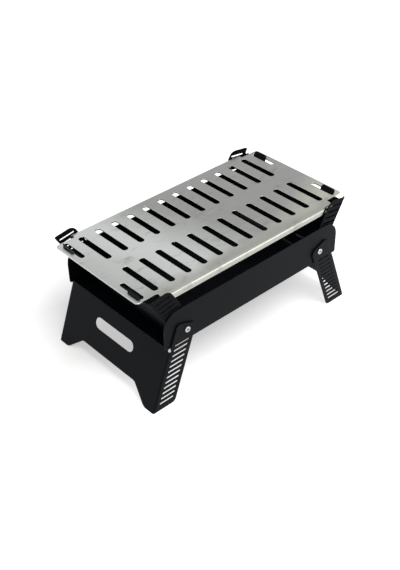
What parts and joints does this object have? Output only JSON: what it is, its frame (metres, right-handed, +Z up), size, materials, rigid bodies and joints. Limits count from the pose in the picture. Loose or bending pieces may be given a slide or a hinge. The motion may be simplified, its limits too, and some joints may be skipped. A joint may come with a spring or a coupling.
{
  "type": "folding camp grill",
  "caption": "Folding tabletop charcoal grill: bent-sheet trough on splayed slotted legs, leaning end walls hinged on shared rivets, and a lift-off slotted stainless plate.",
  "frame": {"origin": "on the ground under the middle of the grill, standing open", "axes": "+X along the grill's length, +Y from its front long side to its back, +Z up"},
  "size_m": [0.4118, 0.232, 0.1943],
  "materials": {
    "powder_coated_steel": "satin black powder coat on bent sheet steel",
    "brushed_stainless": "brushed stainless sheet with light smudges",
    "zinc_plated_steel": "bright zinc plate",
    "mandrel_steel": "bare drawn steel"
  },
  "bodies": {
    "firebox": {"firebox_trough": "powder_coated_steel", "pivot_rivet_front_left": "zinc_plated_steel", "pivot_rivet_front_right": "zinc_plated_steel", "pivot_rivet_back_left": "zinc_plated_steel", "pivot_rivet_back_right": "zinc_plated_steel", "rivet_mandrel_front_left": "mandrel_steel", "rivet_mandrel_front_right": "mandrel_steel", "rivet_mandrel_back_left": "mandrel_steel", "rivet_mandrel_back_right": "mandrel_steel", "leg_spacer_front_left": "zinc_plated_steel", "leg_spacer_front_right": "zinc_plated_steel", "leg_spacer_back_left": "zinc_plated_steel", "leg_spacer_back_right": "zinc_plated_steel", "wall_spacer_front_left": "zinc_plated_steel", "wall_spacer_front_right": "zinc_plated_steel", "wall_spacer_back_left": "zinc_plated_steel", "wall_spacer_back_right": "zinc_plated_steel", "backing_washer_front_left": "zinc_plated_steel", "backing_washer_front_right": "zinc_plated_steel", "backing_washer_back_left": "zinc_plated_steel", "backing_washer_back_right": "zinc_plated_steel"},
    "left_leg_body": {"left_leg": "powder_coated_steel"},
    "right_leg_body": {"right_leg": "powder_coated_steel"},
    "left_wall_body": {"left_end_wall": "powder_coated_steel"},
    "right_wall_body": {"right_end_wall": "powder_coated_steel"},
    "grate_body": {"grill_plate": "brushed_stainless"}
  },
  "joints": [
    {"name": "left_leg_fold", "type": "hinge", "parent": "firebox", "child": "left_leg_body", "pos_m": [-0.1366, 0, 0.1192], "axis": [0, -1, 0], "range_deg": [0, 110.3]},
    {"name": "right_leg_fold", "type": "hinge", "parent": "firebox", "child": "right_leg_body", "pos_m": [0.1366, 0, 0.1192], "axis": [0, 1, 0], "range_deg": [0, 110.3]},
    {"name": "grate_lift", "type": "slide", "parent": "firebox", "child": "grate_body", "axis": [0, 0, 1], "range_m": [0, 0.3]},
    {"name": "left_wall_fold", "type": "hinge", "parent": "firebox", "child": "left_wall_body", "pos_m": [-0.1366, 0, 0.1192], "axis": [0, 1, 0], "range_deg": [0, 120]},
    {"name": "right_wall_fold", "type": "hinge", "parent": "firebox", "child": "right_wall_body", "pos_m": [0.1366, 0, 0.1192], "axis": [0, -1, 0], "range_deg": [0, 120]}
  ],
  "couplings": [
    {"joint": "left_wall_fold", "follows": "grate_lift", "rad_per_m": 6.98},
    {"joint": "right_wall_fold", "follows": "grate_lift", "rad_per_m": 6.98}
  ]
}
